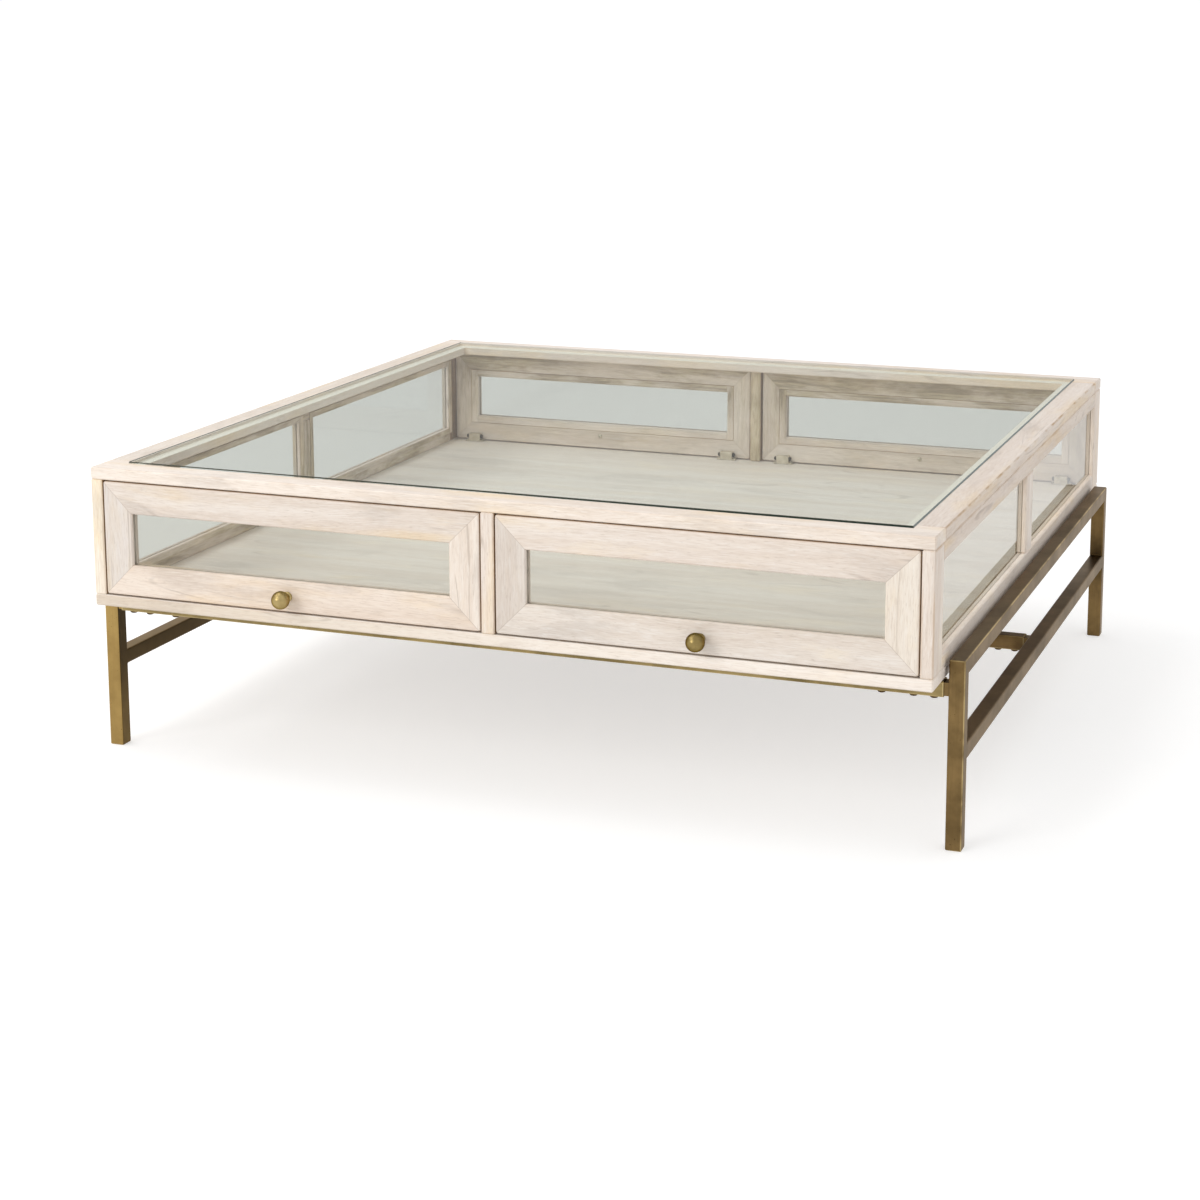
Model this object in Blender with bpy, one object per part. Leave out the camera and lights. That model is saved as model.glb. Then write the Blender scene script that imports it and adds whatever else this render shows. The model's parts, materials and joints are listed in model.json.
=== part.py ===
"""Storage coffee table: a glass-topped display box with four flip-up doors on a metal base.

Metres, +Z up. X runs along the width, the front faces -Y and the table stands on Z = 0.
"""
import math

import bmesh
import bpy

# Box
BOX_WIDTH = 1.120
BOX_DEPTH = 1.120
BOX_BOTTOM = 0.212
BOX_TOP = 0.397
SEAT_GAP = 0.0003
ARRIS = 0.0015
ROUND_BEVEL = 0.5
TOP_RAIL_WIDTH = 0.050
TOP_RAIL_HEIGHT = 0.016
FLOOR_THICKNESS = 0.015
POST_THICKNESS = 0.016
POST_DEPTH = 0.044
CENTER_POST_WIDTH = 0.0175
CENTER_POST_DEPTH = 0.024
MULLION_WIDTH = 0.040
SIDE_SILL_HEIGHT = 0.0230
SIDE_HEAD_HEIGHT = 0.0225

# Glass
TOP_GLASS_MARGIN = 0.035
TOP_GLASS_THICKNESS = 0.006
TOP_GLASS_SEAT_DEPTH = 0.0035
TOP_GLASS_ARRIS = 0.0008
PANE_THICKNESS = 0.004
PANE_ARRIS = 0.0005
PANE_RECESS = 0.0065
PANE_INSERTION = 0.006

# Doors
DOOR_THICKNESS = 0.018
DOOR_SIDE_GAP = 0.0015
DOOR_TOP_GAP = 0.0016
DOOR_BOTTOM_GAP = 0.0020
DOOR_MEMBER = 0.041
DOOR_EDGE_RADIUS = 0.0035
DOOR_REBATE_WIDTH = 0.012
DOOR_REBATE_START = 0.005
DOOR_CORNER_STEPS = 4
HINGE_INSET = 0.006
PIN_RADIUS = 0.002
PIN_DEPTH_IN_DOOR = 0.012
PIN_DEPTH_IN_POST = 0.010
KNOB_RADIUS = 0.01175
KNOB_STAND_OFF = 0.019
KNOB_NECK_RADIUS = 0.0045
KNOB_FOOT_RADIUS = 0.0065
KNOB_FOOT_HEIGHT = 0.0015
CATCH_INSET = 0.0385
CATCH_WIDTH = 0.032
CATCH_BODY_WIDTH = 0.021
CATCH_BODY_HEIGHT = 0.013
CATCH_EAR_HEIGHT = 0.002
CATCH_DEPTH = 0.011
CATCH_CLEARANCE = 0.0005

# Metal base
BAR = 0.020
BAR_EDGE_RADIUS = 0.0018
BAR_WALL = 0.0015
FRAME_GAP = 0.005
FRAME_TOP = 0.236
FRAME_SET_BACK = 0.059
MID_RAIL_TOP = 0.130
CROSSBAR_BOTTOM = 0.189
BAR_END_GAP = 0.006
STUB_ENGAGEMENT = 0.045
STUB_ROOT = 0.002
PAD_LENGTH = 0.060
PAD_WIDTH = 0.014
PAD_INSET = 0.077
PAD_ROOT = 0.0005

# Places that follow from the sizes above
HALF_WIDTH = BOX_WIDTH / 2
HALF_DEPTH = BOX_DEPTH / 2
FLOOR_TOP = BOX_BOTTOM + FLOOR_THICKNESS
RAIL_UNDERSIDE = BOX_TOP - TOP_RAIL_HEIGHT
WINDOW_BOTTOM = FLOOR_TOP + SIDE_SILL_HEIGHT
WINDOW_TOP = RAIL_UNDERSIDE - SIDE_HEAD_HEIGHT
DOOR_OPENING_OUTER = HALF_WIDTH - POST_THICKNESS
DOOR_OPENING_INNER = CENTER_POST_WIDTH / 2
DOOR_WIDTH = DOOR_OPENING_OUTER - DOOR_OPENING_INNER - 2 * DOOR_SIDE_GAP
DOOR_HEIGHT = RAIL_UNDERSIDE - FLOOR_TOP - DOOR_TOP_GAP - DOOR_BOTTOM_GAP
DOOR_CENTER_X = (DOOR_OPENING_OUTER + DOOR_OPENING_INNER) / 2
CATCH_OFFSET = DOOR_WIDTH / 2 - CATCH_INSET
HINGE_Y = HALF_DEPTH - HINGE_INSET
HINGE_Z = RAIL_UNDERSIDE - DOOR_TOP_GAP - HINGE_INSET
DOOR_MIDDLE_Z = HINGE_INSET - DOOR_HEIGHT / 2
PIN_HOLE_RADIUS = PIN_RADIUS + SEAT_GAP
FRAME_INNER_X = HALF_WIDTH + FRAME_GAP
FRAME_CENTER_X = FRAME_INNER_X + BAR / 2
LEG_OUTER_Y = HALF_DEPTH - FRAME_SET_BACK
LEG_CENTER_Y = LEG_OUTER_Y - BAR / 2
BAR_HALF_LENGTH = FRAME_INNER_X - BAR_END_GAP
STUB_SIZE = BAR - 2 * BAR_WALL - 2 * SEAT_GAP

SIDES = {"left": -1, "right": 1}
ENDS = {"front": -1, "back": 1}


def clear_scene():
    for item in list(bpy.data.objects):
        bpy.data.objects.remove(item, do_unlink=True)


def principled(name, color, roughness, metallic=0.0, transmission=0.0):
    """A plain surface with the colour and gloss of one material."""
    surface = bpy.data.materials.new(name)
    surface.use_nodes = True
    shader = surface.node_tree.nodes["Principled BSDF"]
    shader.inputs["Base Color"].default_value = (*color, 1.0)
    shader.inputs["Roughness"].default_value = roughness
    shader.inputs["Metallic"].default_value = metallic
    shader.inputs["Transmission Weight"].default_value = transmission
    surface.diffuse_color = (*color, 1.0)
    return surface


def place(name, mesh, finish, location=(0, 0, 0), parent=None):
    """An object for a mesh, with its finish, place and parent."""
    item = bpy.data.objects.new(name, mesh)
    bpy.context.scene.collection.objects.link(item)
    item.location = location
    item.parent = parent
    if finish and not mesh.materials:
        mesh.materials.append(finish)
    return item


def finished_mesh(name, shape, smooth_angle=None):
    """A mesh from a bmesh, with its faces turned outwards."""
    bmesh.ops.recalc_face_normals(shape, faces=shape.faces)
    mesh = bpy.data.meshes.new(name)
    shape.to_mesh(mesh)
    shape.free()
    if smooth_angle is not None:
        mesh.shade_smooth()
        mesh.set_sharp_from_angle(angle=smooth_angle)
    return mesh


def sharp_edges(shape):
    return [edge for edge in shape.edges if edge.calc_face_angle(0.0) > math.radians(30)]


def box_shape(size, arris=0.0, segments=1):
    """A box round the origin, with its edges eased by the arris."""
    shape = bmesh.new()
    bmesh.ops.create_cube(shape, size=1.0)
    bmesh.ops.scale(shape, vec=size, verts=shape.verts)
    if arris:
        bmesh.ops.bevel(shape, geom=shape.edges[:], offset=arris, segments=segments,
                        profile=ROUND_BEVEL, affect="EDGES")
    return shape


def add_board(name, low, high, finish, arris=ARRIS):
    """A board between two corners."""
    size = [b - a for a, b in zip(low, high)]
    middle = [(a + b) / 2 for a, b in zip(low, high)]
    return place(name, finished_mesh(name, box_shape(size, arris)), finish, middle)


def slab_shape(cells, thickness):
    """Rectangles (x0, x1, z0, z1) that share their corners, thickened along Y about Y = 0."""
    shape = bmesh.new()
    corners = {}

    def corner(x, z):
        key = (round(x, 6), round(z, 6))
        if key not in corners:
            corners[key] = shape.verts.new((x, -thickness / 2, z))
        return corners[key]

    for x0, x1, z0, z1 in cells:
        shape.faces.new([corner(x0, z0), corner(x1, z0), corner(x1, z1), corner(x0, z1)])
    grown = bmesh.ops.extrude_face_region(shape, geom=shape.faces[:])
    moved = [part for part in grown["geom"] if isinstance(part, bmesh.types.BMVert)]
    bmesh.ops.translate(shape, vec=(0, thickness, 0), verts=moved)
    return shape


def rounded_rectangle(half_x, half_z, radius, steps):
    """Points (x, z) round a rectangle; a radius of zero stacks each corner's points."""
    points = []
    for quarter in range(4):
        sign_x = 1 if quarter in (0, 3) else -1
        sign_z = 1 if quarter in (0, 1) else -1
        for step in range(steps):
            angle = math.radians(90) * (quarter + step / (steps - 1))
            points.append((sign_x * (half_x - radius) + radius * math.cos(angle),
                           sign_z * (half_z - radius) + radius * math.sin(angle)))
    return points


def skin_loops(shape, loops):
    """Quads between neighbouring loops of points, and from the last loop back to the first."""
    rings = [[shape.verts.new(point) for point in loop] for loop in loops]
    for ring, following in zip(rings, rings[1:] + rings[:1]):
        for index, vert in enumerate(ring):
            other = (index + 1) % len(ring)
            shape.faces.new([vert, ring[other], following[other], following[index]])


def moulding_shape(half_x, half_z, profile, corner_radius):
    """A profile of (inset from the edge, depth from the front) carried round a rectangle."""
    shape = bmesh.new()
    loops = []
    for inset, depth in profile:
        radius = max(corner_radius - inset, 0.0)
        ring = rounded_rectangle(half_x - inset, half_z - inset, radius, DOOR_CORNER_STEPS)
        loops.append([(x, depth, z) for x, z in ring])
    skin_loops(shape, loops)
    bmesh.ops.remove_doubles(shape, verts=shape.verts, dist=1e-6)
    bmesh.ops.dissolve_degenerate(shape, edges=shape.edges, dist=1e-6)
    return shape


def arc(center, radius, start, end, steps):
    """Points on an arc, with its angles in degrees."""
    angles = [math.radians(start + (end - start) * step / steps) for step in range(steps + 1)]
    return [(center[0] + radius * math.cos(a), center[1] + radius * math.sin(a)) for a in angles]


def turned_shape(profile, steps):
    """A profile of (radius, distance along -Y) turned about the Y axis, from axis to axis."""
    shape = bmesh.new()
    verts = [shape.verts.new((radius, -distance, 0)) for radius, distance in profile]
    edges = [shape.edges.new(pair) for pair in zip(verts, verts[1:])]
    bmesh.ops.spin(shape, geom=verts + edges, cent=(0, 0, 0), axis=(0, 1, 0),
                   angle=math.radians(360), steps=steps, use_merge=True)
    bmesh.ops.remove_doubles(shape, verts=shape.verts, dist=1e-6)
    return shape


def cylinder_mesh(name, radius, length, ease=0.0):
    """A cylinder along X round the origin."""
    half = length / 2
    outline = [(0, -half), (radius - ease, -half), (radius, -half + ease),
               (radius, half - ease), (radius - ease, half), (0, half)]
    if not ease:
        outline = [(0, -half), (radius, -half), (radius, half), (0, half)]
    shape = turned_shape(outline, 24)
    for vert in shape.verts:
        vert.co.x, vert.co.y = vert.co.y, vert.co.x
    return finished_mesh(name, shape, math.radians(40))


def add_modifier(item, tool, operation):
    """A boolean of the tool, which stays out of sight."""
    tool.hide_render = True
    tool.display_type = "WIRE"
    modifier = item.modifiers.new(tool.name, "BOOLEAN")
    modifier.operation = operation
    modifier.object = tool
    modifier.solver = "EXACT"


def add_guide_box(name, low, high):
    return add_board(name, low, high, None, arris=0.0)


def add_floor(wood):
    low = (-HALF_WIDTH, -HALF_DEPTH, BOX_BOTTOM)
    high = (HALF_WIDTH, HALF_DEPTH, FLOOR_TOP)
    return add_board("floor_panel", low, high, wood)


def add_top_rails(wood):
    """Front and back rails run through, the side rails butt between them, and all are rebated."""
    seat_x = HALF_WIDTH - TOP_GLASS_MARGIN
    seat_y = HALF_DEPTH - TOP_GLASS_MARGIN
    seat_floor = BOX_TOP - TOP_GLASS_SEAT_DEPTH - SEAT_GAP
    seat = add_guide_box("glass_seat_cutter", (-seat_x, -seat_y, seat_floor),
                         (seat_x, seat_y, BOX_TOP + TOP_RAIL_HEIGHT))
    inner_y = HALF_DEPTH - TOP_RAIL_WIDTH
    inner_x = HALF_WIDTH - TOP_RAIL_WIDTH
    for end, sign in ENDS.items():
        near, far = sorted((sign * inner_y, sign * HALF_DEPTH))
        rail = add_board(f"{end}_top_rail", (-HALF_WIDTH, near, RAIL_UNDERSIDE),
                         (HALF_WIDTH, far, BOX_TOP), wood)
        add_modifier(rail, seat, "DIFFERENCE")
    for side, sign in SIDES.items():
        near, far = sorted((sign * inner_x, sign * HALF_WIDTH))
        rail = add_board(f"{side}_top_rail", (near, -inner_y + SEAT_GAP, RAIL_UNDERSIDE),
                         (far, inner_y - SEAT_GAP, BOX_TOP), wood)
        add_modifier(rail, seat, "DIFFERENCE")


def add_top_glass(glass):
    """The lid glass, a flat sheet with eased edges that stands a little proud of the rails."""
    x = HALF_WIDTH - TOP_GLASS_MARGIN - SEAT_GAP
    y = HALF_DEPTH - TOP_GLASS_MARGIN - SEAT_GAP
    base = BOX_TOP - TOP_GLASS_SEAT_DEPTH
    add_board("top_glass", (-x, -y, base), (x, y, base + TOP_GLASS_THICKNESS), glass, TOP_GLASS_ARRIS)


def side_span(side_sign, inner, outer):
    """Two X places on one side, the lower one first."""
    return sorted((side_sign * inner, side_sign * outer))


def add_side_walls(wood, glass):
    """Each side: two posts, a sill, a head and a mullion, grooved for two panes."""
    inner = HALF_WIDTH - POST_THICKNESS
    post_y = HALF_DEPTH - POST_DEPTH
    low_z = FLOOR_TOP + SEAT_GAP
    high_z = RAIL_UNDERSIDE - SEAT_GAP
    for side, sign in SIDES.items():
        x0, x1 = side_span(sign, inner, HALF_WIDTH)
        pieces = []
        for end, direction in ENDS.items():
            y0, y1 = sorted((direction * post_y, direction * HALF_DEPTH))
            post = add_board(f"{end}_{side}_post", (x0, y0, low_z), (x1, y1, high_z), wood)
            add_pin_hole(post, sign * DOOR_OPENING_OUTER, direction)
            pieces.append(post)
        length = post_y - SEAT_GAP
        pieces.append(add_board(f"{side}_side_sill", (x0, -length, low_z),
                                (x1, length, WINDOW_BOTTOM), wood))
        pieces.append(add_board(f"{side}_side_head", (x0, -length, WINDOW_TOP),
                                (x1, length, high_z), wood))
        pieces.append(add_board(f"{side}_side_mullion",
                                (x0, -MULLION_WIDTH / 2, WINDOW_BOTTOM + SEAT_GAP),
                                (x1, MULLION_WIDTH / 2, WINDOW_TOP - SEAT_GAP), wood))
        add_side_panes(side, sign, pieces, glass)


def add_side_panes(side, sign, pieces, glass):
    """Two panes let into grooves in the wood round them."""
    outer_face = HALF_WIDTH - PANE_RECESS
    x0, x1 = side_span(sign, outer_face - PANE_THICKNESS, outer_face)
    y_near = MULLION_WIDTH / 2 - PANE_INSERTION
    y_far = HALF_DEPTH - POST_DEPTH + PANE_INSERTION
    z0 = WINDOW_BOTTOM - PANE_INSERTION
    z1 = WINDOW_TOP + PANE_INSERTION
    for end, direction in ENDS.items():
        y0, y1 = sorted((direction * y_near, direction * y_far))
        groove = add_guide_box(f"{end}_{side}_groove_cutter",
                               (x0 - SEAT_GAP, y0 - SEAT_GAP, z0 - SEAT_GAP),
                               (x1 + SEAT_GAP, y1 + SEAT_GAP, z1 + SEAT_GAP))
        for piece in pieces:
            if end not in piece.name and piece.name.endswith("_post"):
                continue
            add_modifier(piece, groove, "DIFFERENCE")
        add_board(f"{end}_{side}_side_pane", (x0, y0, z0), (x1, y1, z1), glass, PANE_ARRIS)


def add_pin_hole(post, face_x, direction):
    """A blind hole for a hinge pin in the face of a post that looks at the door."""
    outward = 1 if face_x > 0 else -1
    length = 2 * PIN_DEPTH_IN_POST
    name = f"{post.name}_pin_cutter"
    cutter = place(name, cylinder_mesh(name, PIN_HOLE_RADIUS, length), None,
                   (face_x + outward * (PIN_DEPTH_IN_POST - length / 2), direction * HINGE_Y, HINGE_Z))
    add_modifier(post, cutter, "DIFFERENCE")


def add_center_posts(wood):
    """The posts between the doors, bored right through for the pin both doors share."""
    half = CENTER_POST_WIDTH / 2
    for end, direction in ENDS.items():
        y0, y1 = sorted((direction * (HALF_DEPTH - CENTER_POST_DEPTH), direction * HALF_DEPTH))
        post = add_board(f"{end}_center_post", (-half, y0, FLOOR_TOP + SEAT_GAP),
                         (half, y1, RAIL_UNDERSIDE - SEAT_GAP), wood)
        name = f"{end}_center_pin_cutter"
        cutter = place(name, cylinder_mesh(name, PIN_HOLE_RADIUS, 2 * CENTER_POST_WIDTH), None,
                       (0, direction * HINGE_Y, HINGE_Z))
        add_modifier(post, cutter, "DIFFERENCE")


def add_hinge_pins(brass):
    """One pin in each corner post, and one through each centre post that carries two doors."""
    outer_length = PIN_DEPTH_IN_POST + DOOR_SIDE_GAP + PIN_DEPTH_IN_DOOR - 2 * SEAT_GAP
    outer_x = DOOR_OPENING_OUTER - DOOR_SIDE_GAP - PIN_DEPTH_IN_DOOR + SEAT_GAP + outer_length / 2
    center_length = CENTER_POST_WIDTH + 2 * (DOOR_SIDE_GAP + PIN_DEPTH_IN_DOOR - SEAT_GAP)
    ease = PIN_RADIUS / 5
    outer = cylinder_mesh("outer_pin", PIN_RADIUS, outer_length, ease)
    center = cylinder_mesh("center_pin", PIN_RADIUS, center_length, ease)
    for end, direction in ENDS.items():
        hinge = (direction * HINGE_Y, HINGE_Z)
        place(f"{end}_center_hinge_pin", center, brass, (0, *hinge))
        for side, sign in SIDES.items():
            place(f"{end}_{side}_hinge_pin", outer, brass, (sign * outer_x, *hinge))


def door_frame_mesh():
    """A mitred frame, rounded outside and rebated inside for the pane and its bead."""
    radius = DOOR_EDGE_RADIUS
    round_front = arc((radius, radius), radius, 180, 270, 4)
    profile = [
        (ARRIS, DOOR_THICKNESS),
        (0, DOOR_THICKNESS - ARRIS),
        *round_front,
        (DOOR_MEMBER - ARRIS, 0),
        (DOOR_MEMBER, ARRIS),
        (DOOR_MEMBER, DOOR_REBATE_START),
        (DOOR_MEMBER - DOOR_REBATE_WIDTH, DOOR_REBATE_START),
        (DOOR_MEMBER - DOOR_REBATE_WIDTH, DOOR_THICKNESS),
    ]
    shape = moulding_shape(DOOR_WIDTH / 2, DOOR_HEIGHT / 2, profile, radius)
    bmesh.ops.translate(shape, vec=(0, -HINGE_INSET, DOOR_MIDDLE_Z), verts=shape.verts)
    return finished_mesh("door_frame", shape, math.radians(35))


def door_bead_mesh():
    """The loose bead that holds the pane, eased along its inner edge."""
    outer = DOOR_MEMBER - DOOR_REBATE_WIDTH + SEAT_GAP
    front = DOOR_REBATE_START + PANE_THICKNESS + 2 * SEAT_GAP
    profile = [
        (outer, DOOR_THICKNESS),
        (outer, front),
        (DOOR_MEMBER, front),
        (DOOR_MEMBER, DOOR_THICKNESS - 2 * ARRIS),
        (DOOR_MEMBER - 2 * ARRIS, DOOR_THICKNESS),
    ]
    shape = moulding_shape(DOOR_WIDTH / 2, DOOR_HEIGHT / 2, profile, 0.0)
    bmesh.ops.translate(shape, vec=(0, -HINGE_INSET, DOOR_MIDDLE_Z), verts=shape.verts)
    return finished_mesh("door_bead", shape)


def door_pane_mesh():
    margin = DOOR_MEMBER - DOOR_REBATE_WIDTH + SEAT_GAP
    size = (DOOR_WIDTH - 2 * margin, PANE_THICKNESS, DOOR_HEIGHT - 2 * margin)
    shape = box_shape(size, PANE_ARRIS)
    middle_y = DOOR_REBATE_START + SEAT_GAP + PANE_THICKNESS / 2 - HINGE_INSET
    bmesh.ops.translate(shape, vec=(0, middle_y, DOOR_MIDDLE_Z), verts=shape.verts)
    return finished_mesh("door_pane", shape)


def knob_mesh():
    """A ball on a short neck that flares into a small foot."""
    start = math.degrees(math.asin(KNOB_NECK_RADIUS / KNOB_RADIUS))
    ball = arc((KNOB_STAND_OFF, 0), KNOB_RADIUS, 180 - start, 0, 12)
    profile = [
        (0, SEAT_GAP),
        (KNOB_FOOT_RADIUS, SEAT_GAP),
        (KNOB_FOOT_RADIUS, KNOB_FOOT_HEIGHT),
        (KNOB_NECK_RADIUS, 2 * KNOB_FOOT_HEIGHT),
        *[(radius, distance) for distance, radius in ball[:-1]],
        (0, KNOB_STAND_OFF + KNOB_RADIUS),
    ]
    return finished_mesh("door_knob", turned_shape(profile, 24), math.radians(40))


def add_doors(wood, glass, brass):
    """Four alike doors, each on an empty that lies on its hinge axis."""
    meshes = {
        "frame": (door_frame_mesh(), wood),
        "bead": (door_bead_mesh(), wood),
        "pane": (door_pane_mesh(), glass),
    }
    knob = knob_mesh()
    knob_z = HINGE_INSET - DOOR_HEIGHT + DOOR_MEMBER / 2
    for end, direction in ENDS.items():
        for side, sign in SIDES.items():
            door = f"{end}_{side}_door"
            hinge = place(f"{door}_hinge_axis", None, None)
            hinge.location = (sign * DOOR_CENTER_X, direction * HINGE_Y, HINGE_Z)
            hinge.rotation_euler.z = 0 if direction < 0 else math.pi
            for part, (mesh, finish) in meshes.items():
                item = place(f"{door}_{part}", mesh, finish, parent=hinge)
                if part == "frame":
                    bore_door(item, hinge)
            place(f"{door}_knob", knob, brass, (0, -HINGE_INSET, knob_z), hinge)


def bore_door(frame, hinge):
    """Blind holes for the pins in both ends of the door's top edge."""
    length = 2 * PIN_DEPTH_IN_DOOR
    for side, sign in SIDES.items():
        name = f"{frame.name}_{side}_bore_cutter"
        cutter = place(name, cylinder_mesh(name, PIN_HOLE_RADIUS, length), None,
                       (sign * DOOR_WIDTH / 2, 0, 0), hinge)
        add_modifier(frame, cutter, "DIFFERENCE")


def add_catches(nickel):
    """Two catches on the floor behind each door: a body between two screw ears."""
    body = CATCH_BODY_WIDTH / 2
    ear = CATCH_WIDTH / 2
    cells = [(-ear, -body, 0, CATCH_EAR_HEIGHT), (-body, body, 0, CATCH_EAR_HEIGHT),
             (body, ear, 0, CATCH_EAR_HEIGHT), (-body, body, CATCH_EAR_HEIGHT, CATCH_BODY_HEIGHT)]
    shape = slab_shape(cells, CATCH_DEPTH)
    bmesh.ops.bevel(shape, geom=sharp_edges(shape), offset=CATCH_EAR_HEIGHT / 5, segments=1,
                    profile=ROUND_BEVEL, affect="EDGES")
    mesh = finished_mesh("catch", shape)
    y = HALF_DEPTH - DOOR_THICKNESS - CATCH_CLEARANCE - CATCH_DEPTH / 2
    for end, direction in ENDS.items():
        for side, sign in SIDES.items():
            for place_name, step in (("outer", 1), ("inner", -1)):
                x = sign * (DOOR_CENTER_X + step * CATCH_OFFSET)
                place(f"{end}_{side}_{place_name}_catch", mesh, nickel,
                      (x, direction * y, FLOOR_TOP + SEAT_GAP))


def side_frame_cells():
    """The welded outline of a side frame: two legs, a top rail and a mid rail."""
    outer = LEG_OUTER_Y
    inner = LEG_OUTER_Y - BAR
    mid_low = MID_RAIL_TOP - BAR
    top_low = FRAME_TOP - BAR
    levels = [0, mid_low, MID_RAIL_TOP, top_low, FRAME_TOP]
    cells = []
    for low, high in zip(levels, levels[1:]):
        cells.append((-outer, -inner, low, high))
        cells.append((inner, outer, low, high))
        if low in (mid_low, top_low):
            cells.append((-inner, inner, low, high))
    return cells


def add_side_frames(brass):
    """Both side frames, with the stubs that the cross members slide over."""
    shape = slab_shape(side_frame_cells(), BAR)
    bmesh.ops.bevel(shape, geom=sharp_edges(shape), offset=BAR_EDGE_RADIUS, segments=2,
                    profile=ROUND_BEVEL, affect="EDGES")
    mesh = finished_mesh("side_frame", shape, math.radians(35))
    half = STUB_SIZE / 2
    crossbar_z = CROSSBAR_BOTTOM + BAR / 2
    stubs = {
        "front": (-LEG_CENTER_Y, crossbar_z),
        "middle": (0, MID_RAIL_TOP - BAR / 2),
        "back": (LEG_CENTER_Y, crossbar_z),
    }
    for side, sign in SIDES.items():
        frame = place(f"{side}_side_frame", mesh, brass, (sign * FRAME_CENTER_X, 0, 0))
        frame.rotation_euler.z = math.pi / 2
        x0, x1 = side_span(sign, BAR_HALF_LENGTH - STUB_ENGAGEMENT, FRAME_INNER_X + STUB_ROOT)
        for position, (y, z) in stubs.items():
            stub = add_guide_box(f"{side}_{position}_stub", (x0, y - half, z - half),
                                 (x1, y + half, z + half))
            add_modifier(frame, stub, "UNION")


def tube_mesh(name, half_length):
    """A square tube along X with rounded outer edges, open at both ends."""
    bore = BAR / 2 - BAR_WALL
    inner_radius = BAR_EDGE_RADIUS / 4
    outline = rounded_rectangle(BAR / 2, BAR / 2, BAR_EDGE_RADIUS, 3)
    inside = rounded_rectangle(bore, bore, inner_radius, 3)
    shape = bmesh.new()
    loops = [
        [(-half_length, y, z) for y, z in outline],
        [(half_length, y, z) for y, z in outline],
        [(half_length, y, z) for y, z in inside],
        [(-half_length, y, z) for y, z in inside],
    ]
    skin_loops(shape, loops)
    return finished_mesh(name, shape, math.radians(35))


def add_cross_members(brass):
    """Two crossbars under the box, with pads that lift it clear, and a low stretcher."""
    mesh = tube_mesh("cross_member", BAR_HALF_LENGTH)
    crossbar_z = CROSSBAR_BOTTOM + BAR / 2
    pad_low = CROSSBAR_BOTTOM + BAR - PAD_ROOT
    for end, direction in ENDS.items():
        y = direction * LEG_CENTER_Y
        bar = place(f"{end}_crossbar", mesh, brass, (0, y, crossbar_z))
        for side, sign in SIDES.items():
            x = sign * (BAR_HALF_LENGTH - PAD_INSET)
            pad = add_guide_box(f"{end}_{side}_pad",
                                (x - PAD_LENGTH / 2, y - PAD_WIDTH / 2, pad_low),
                                (x + PAD_LENGTH / 2, y + PAD_WIDTH / 2, BOX_BOTTOM - SEAT_GAP))
            add_modifier(bar, pad, "UNION")
    place("center_stretcher", mesh, brass, (0, 0, MID_RAIL_TOP - BAR / 2))


def build():
    clear_scene()
    wood = principled("pale_wood", (0.82, 0.72, 0.60), 0.6)
    glass = principled("clear_glass", (0.85, 0.93, 0.90), 0.05, transmission=1.0)
    brass = principled("aged_brass", (0.33, 0.25, 0.12), 0.4, metallic=1.0)
    nickel = principled("nickel", (0.62, 0.60, 0.55), 0.3, metallic=1.0)
    add_floor(wood)
    add_top_rails(wood)
    add_top_glass(glass)
    add_side_walls(wood, glass)
    add_center_posts(wood)
    add_hinge_pins(brass)
    add_doors(wood, glass, brass)
    add_catches(nickel)
    add_side_frames(brass)
    add_cross_members(brass)


build()
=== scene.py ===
"""Looks for the storage coffee table: whitewashed wood, clear glass, aged brass and small nickel fittings.

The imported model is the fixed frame. This script gives its nodes their materials, adds the small
fasteners, beads and welds, and sets the floor, the light and the camera. Metres, +Z up, front
towards -Y. Colours of three whole numbers count from 0 to 255, as in a picture.
"""
import json
import math

import bmesh
import bpy
from mathutils import Matrix, Vector

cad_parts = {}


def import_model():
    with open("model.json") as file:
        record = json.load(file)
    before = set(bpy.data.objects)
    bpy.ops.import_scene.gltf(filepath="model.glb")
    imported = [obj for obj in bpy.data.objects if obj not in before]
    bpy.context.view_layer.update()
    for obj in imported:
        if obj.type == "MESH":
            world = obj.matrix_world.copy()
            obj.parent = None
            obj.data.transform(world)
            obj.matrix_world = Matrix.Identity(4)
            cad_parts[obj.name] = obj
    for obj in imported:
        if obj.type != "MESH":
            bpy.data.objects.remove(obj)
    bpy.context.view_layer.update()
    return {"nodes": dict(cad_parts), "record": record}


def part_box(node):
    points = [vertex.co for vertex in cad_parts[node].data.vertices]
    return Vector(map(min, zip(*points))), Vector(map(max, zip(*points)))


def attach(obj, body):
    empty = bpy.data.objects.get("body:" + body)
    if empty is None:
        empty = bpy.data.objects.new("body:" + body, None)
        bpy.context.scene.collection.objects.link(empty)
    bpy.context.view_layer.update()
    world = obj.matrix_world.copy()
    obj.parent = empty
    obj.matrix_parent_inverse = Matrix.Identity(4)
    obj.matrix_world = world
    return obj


# Camera, solved from points measured in the photograph, with a lens shift of a sixth of its height
CAMERA_PLACE = (1.1619, -3.1825, 1.0504)
CAMERA_YAW = -0.34934
CAMERA_PITCH = 0.18297
CAMERA_ROLL = 0.00028
FOCAL_PIXELS = 2405.9
CENTER_PIXELS = (645.3, 400.0)
PHOTO_PIXELS = 1200
SENSOR = 36.0

# Lamps: place, size and power; both face the middle of the box
LAMPS = {
    "key_light": ((-2.4, -5.0, 3.0), (2.6, 2.4), 88),
    "top_light": ((-1.7, -0.1, 3.2), (2.6, 2.6), 32),
}
LAMP_TARGET = (0.0, 0.0, 0.3)

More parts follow.
